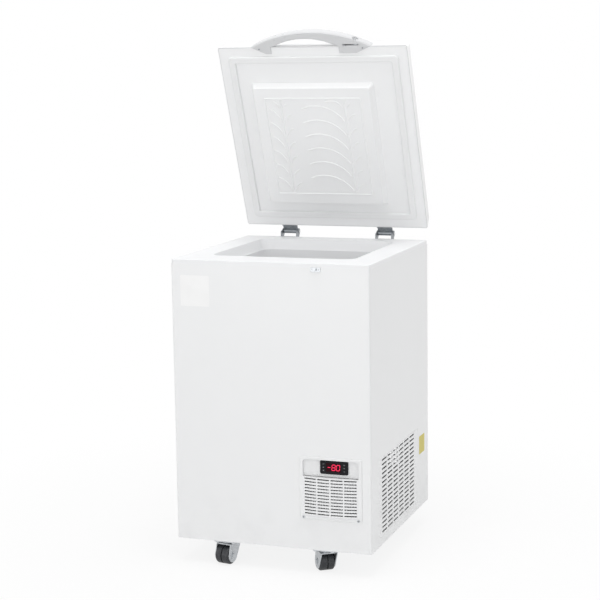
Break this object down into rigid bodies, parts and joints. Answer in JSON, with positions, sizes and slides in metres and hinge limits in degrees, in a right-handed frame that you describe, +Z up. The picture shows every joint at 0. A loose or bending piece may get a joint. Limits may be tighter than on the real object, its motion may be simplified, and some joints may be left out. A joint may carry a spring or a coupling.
{
  "type": "chest ultra low temperature freezer",
  "caption": "White chest ultra low temperature freezer on swivel casters, lid propped open, with front controls and vents.",
  "frame": {"origin": "on the floor under the middle of the overall plan, lid open", "axes": "+X to the user's right facing the front, +Y to the back, +Z up"},
  "size_m": [0.55, 0.6232, 1.425],
  "materials": {
    "cabinet_paint": "satin white powder coat",
    "lid_paint": "satin white",
    "white_plastic": "satin moulded",
    "panel_plastic": "fine textured",
    "galvanised": "galvanised",
    "liner_sheet": "embossed satin",
    "foam": "closed-cell foam",
    "copper": "copper tube",
    "black_plastic": "gloss black",
    "display": "dark red window",
    "key_plastic": "matte black",
    "gasket_rubber": "soft grey",
    "handle_plastic": "grey",
    "hinge_steel": "zinc plated",
    "bright_steel": "polished",
    "screw_steel": "zinc",
    "compressor_paint": "black semi gloss",
    "black_rubber": "matte",
    "terminal_plastic": "matte",
    "coil_aluminium": "mill finish",
    "fan_plastic": "matte",
    "motor_steel": "grey",
    "caster_zinc": "galvanised",
    "wheel_rubber": "dark grey"
  },
  "bodies": {
    "cabinet": {"cabinet_wrap": "cabinet_paint", "rear_panel": "cabinet_paint", "base_tray": "galvanised", "compartment_deck": "galvanised", "top_collar": "white_plastic", "inner_liner": "liner_sheet", "foam_insulation": "foam", "evaporator_coil": "copper", "temperature_probe": "screw_steel", "side_vent_grille": "cabinet_paint", "front_grille": "panel_plastic", "grille_screws": "screw_steel", "controller_case": "black_plastic", "display_window": "display", "strike_plate": "hinge_steel", "strike_screws": "screw_steel", "hinge_brackets": "hinge_steel", "hinge_pins": "bright_steel", "hinge_screws": "screw_steel", "compressor": "compressor_paint", "compressor_feet": "black_rubber", "terminal_box": "terminal_plastic", "condenser": "coil_aluminium", "fan_shroud": "galvanised", "fan_motor": "motor_steel", "filter_drier": "copper", "discharge_pipe": "copper", "liquid_pipe": "copper", "suction_pipe": "copper", "electrical_box": "galvanised", "electrical_cover": "galvanised", "mains_inlet": "terminal_plastic", "caster_plates": "hinge_steel", "caster_bolts": "screw_steel"},
    "lid": {"lid_shell": "lid_paint", "lid_foam": "foam", "lid_liner": "white_plastic", "lid_gasket": "gasket_rubber", "lid_handle": "handle_plastic", "handle_screws": "screw_steel", "hinge_leaves": "hinge_steel", "leaf_screws": "screw_steel", "lock_barrel": "bright_steel"},
    "lock": {"lock_plug": "bright_steel", "lock_hook": "hinge_steel"},
    "fan": {"fan_blade": "fan_plastic"},
    "swivel_front_left": {"caster_fork_front_left": "caster_zinc"},
    "wheel_front_left": {"caster_wheel_front_left": "wheel_rubber"},
    "swivel_front_right": {"caster_fork_front_right": "caster_zinc"},
    "wheel_front_right": {"caster_wheel_front_right": "wheel_rubber"},
    "swivel_rear_left": {"caster_fork_rear_left": "caster_zinc"},
    "wheel_rear_left": {"caster_wheel_rear_left": "wheel_rubber"},
    "swivel_rear_right": {"caster_fork_rear_right": "caster_zinc"},
    "wheel_rear_right": {"caster_wheel_rear_right": "wheel_rubber"},
    "key_set": {"key_set": "key_plastic"},
    "key_light": {"key_light": "key_plastic"},
    "key_defrost": {"key_defrost": "key_plastic"},
    "key_up": {"key_up": "key_plastic"},
    "key_down": {"key_down": "key_plastic"},
    "key_power": {"key_power": "key_plastic"}
  },
  "joints": [
    {"name": "lid_hinge", "type": "hinge", "parent": "cabinet", "child": "lid", "pos_m": [0, 0.28111, 0.841], "axis": [-1, 0, 0], "range_deg": [-68, 17]},
    {"name": "lock_turn", "type": "hinge", "parent": "lid", "child": "lock", "pos_m": [0.13, 0.06057, 1.38284], "axis": [0, -0.3746, 0.9272], "range_deg": [0, 80]},
    {"name": "fan_spin", "type": "hinge", "parent": "cabinet", "child": "fan", "pos_m": [0.165, -0.22169, 0.1647], "axis": [0, -1, 0], "continuous": true},
    {"name": "swivel_front_left", "type": "hinge", "parent": "cabinet", "child": "swivel_front_left", "pos_m": [-0.14, -0.26789, 0.057], "axis": [0, 0, 1], "continuous": true},
    {"name": "wheel_front_left", "type": "hinge", "parent": "swivel_front_left", "child": "wheel_front_left", "pos_m": [-0.14291, -0.28158, 0.025], "axis": [-0.9781, 0.2079, 0], "continuous": true},
    {"name": "swivel_front_right", "type": "hinge", "parent": "cabinet", "child": "swivel_front_right", "pos_m": [0.14, -0.26789, 0.057], "axis": [0, 0, 1], "continuous": true},
    {"name": "wheel_front_right", "type": "hinge", "parent": "swivel_front_right", "child": "wheel_front_right", "pos_m": [0.13177, -0.25656, 0.025], "axis": [0.809, 0.5878, 0], "continuous": true},
    {"name": "swivel_rear_left", "type": "hinge", "parent": "cabinet", "child": "swivel_rear_left", "pos_m": [-0.14, 0.22611, 0.057], "axis": [0, 0, 1], "continuous": true},
    {"name": "wheel_rear_left", "type": "hinge", "parent": "swivel_rear_left", "child": "wheel_rear_left", "pos_m": [-0.14592, 0.2388, 0.025], "axis": [0.9063, 0.4226, 0], "continuous": true},
    {"name": "swivel_rear_right", "type": "hinge", "parent": "cabinet", "child": "swivel_rear_right", "pos_m": [0.14, 0.22611, 0.057], "axis": [0, 0, 1], "continuous": true},
    {"name": "wheel_rear_right", "type": "hinge", "parent": "swivel_rear_right", "child": "wheel_rear_right", "pos_m": [0.14479, 0.23927, 0.025], "axis": [0.9397, -0.342, 0], "continuous": true},
    {"name": "key_set_press", "type": "slide", "parent": "cabinet", "child": "key_set", "axis": [0, 1, 0], "range_m": [0, 0.0006], "stiffness_N_per_m": 800, "springref_m": -0.0003},
    {"name": "key_light_press", "type": "slide", "parent": "cabinet", "child": "key_light", "axis": [0, 1, 0], "range_m": [0, 0.0006], "stiffness_N_per_m": 800, "springref_m": -0.0003},
    {"name": "key_defrost_press", "type": "slide", "parent": "cabinet", "child": "key_defrost", "axis": [0, 1, 0], "range_m": [0, 0.0006], "stiffness_N_per_m": 800, "springref_m": -0.0003},
    {"name": "key_up_press", "type": "slide", "parent": "cabinet", "child": "key_up", "axis": [0, 1, 0], "range_m": [0, 0.0006], "stiffness_N_per_m": 800, "springref_m": -0.0003},
    {"name": "key_down_press", "type": "slide", "parent": "cabinet", "child": "key_down", "axis": [0, 1, 0], "range_m": [0, 0.0006], "stiffness_N_per_m": 800, "springref_m": -0.0003},
    {"name": "key_power_press", "type": "slide", "parent": "cabinet", "child": "key_power", "axis": [0, 1, 0], "range_m": [0, 0.0006], "stiffness_N_per_m": 800, "springref_m": -0.0003}
  ]
}
